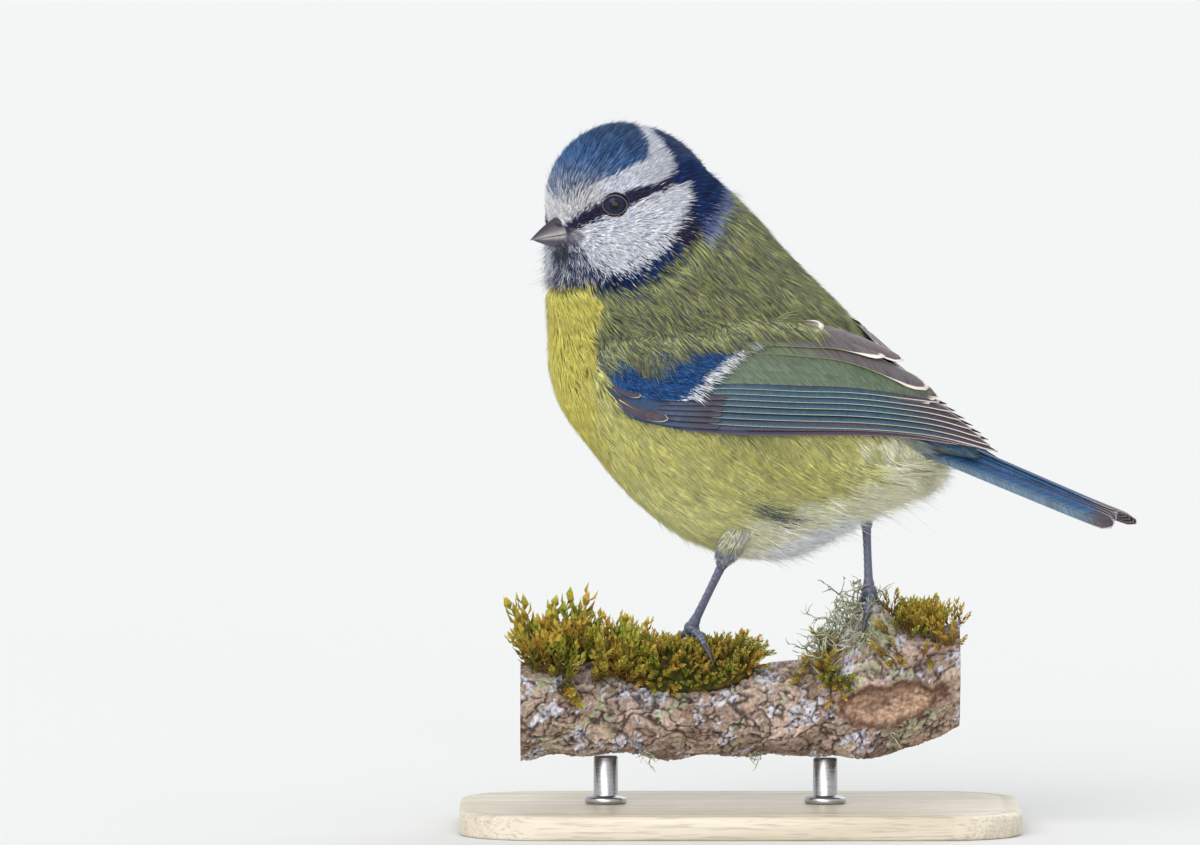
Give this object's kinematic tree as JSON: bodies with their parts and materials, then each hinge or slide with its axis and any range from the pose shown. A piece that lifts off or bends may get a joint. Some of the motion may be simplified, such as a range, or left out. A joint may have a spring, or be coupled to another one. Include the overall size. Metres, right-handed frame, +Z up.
{
  "type": "blue tit model on a perch",
  "caption": "Life-size blue tit, a small blue, white and yellow songbird, standing on a short mossy length of branch held by a plain display stand.",
  "frame": {"origin": "middle of the underside of the stand's base", "axes": "+Z up; the perch lies along X; the bird looks towards -X, and -Y is the side of the reference view"},
  "size_m": [0.1106, 0.0657, 0.1161],
  "materials": {
    "face_feathers": "soft white, blue and navy head feathers",
    "collar_feathers": "soft navy collar feathers",
    "body_feathers": "soft yellow and olive green body feathers",
    "wing_feathers": "smooth blue and grey flight feathers",
    "tail_feathers": "smooth blue tail feathers",
    "thigh_feathers": "pale down",
    "eyes": "wet, dark",
    "bill": "slate horn, slightly glossy",
    "leg_skin": "blue grey scales",
    "claws": "grey horn",
    "bark": "rough bark with pale lichen",
    "moss": "golden green moss",
    "stand_wood": "satin dark wood",
    "stand_metal": "satin metal rod"
  },
  "bodies": {
    "root": {"head": "face_feathers", "neck": "collar_feathers", "torso": "body_feathers", "wing_left": "wing_feathers", "wing_right": "wing_feathers", "tail": "tail_feathers", "eye_left": "eyes", "eye_right": "eyes", "bill_upper": "bill", "bill_lower": "bill", "thigh_left": "thigh_feathers", "thigh_right": "thigh_feathers", "tarsus_left": "leg_skin", "tarsus_right": "leg_skin", "foot_left": "leg_skin", "foot_right": "leg_skin", "perch_branch": "bark", "perch_moss": "moss", "stand_base": "stand_wood", "stand_rod_left": "stand_metal", "stand_rod_right": "stand_metal", "claw_left_1": "claws", "claw_left_2": "claws", "claw_left_3": "claws", "claw_left_4": "claws", "claw_right_1": "claws", "claw_right_2": "claws", "claw_right_3": "claws", "claw_right_4": "claws"}
  },
  "joints": []
}
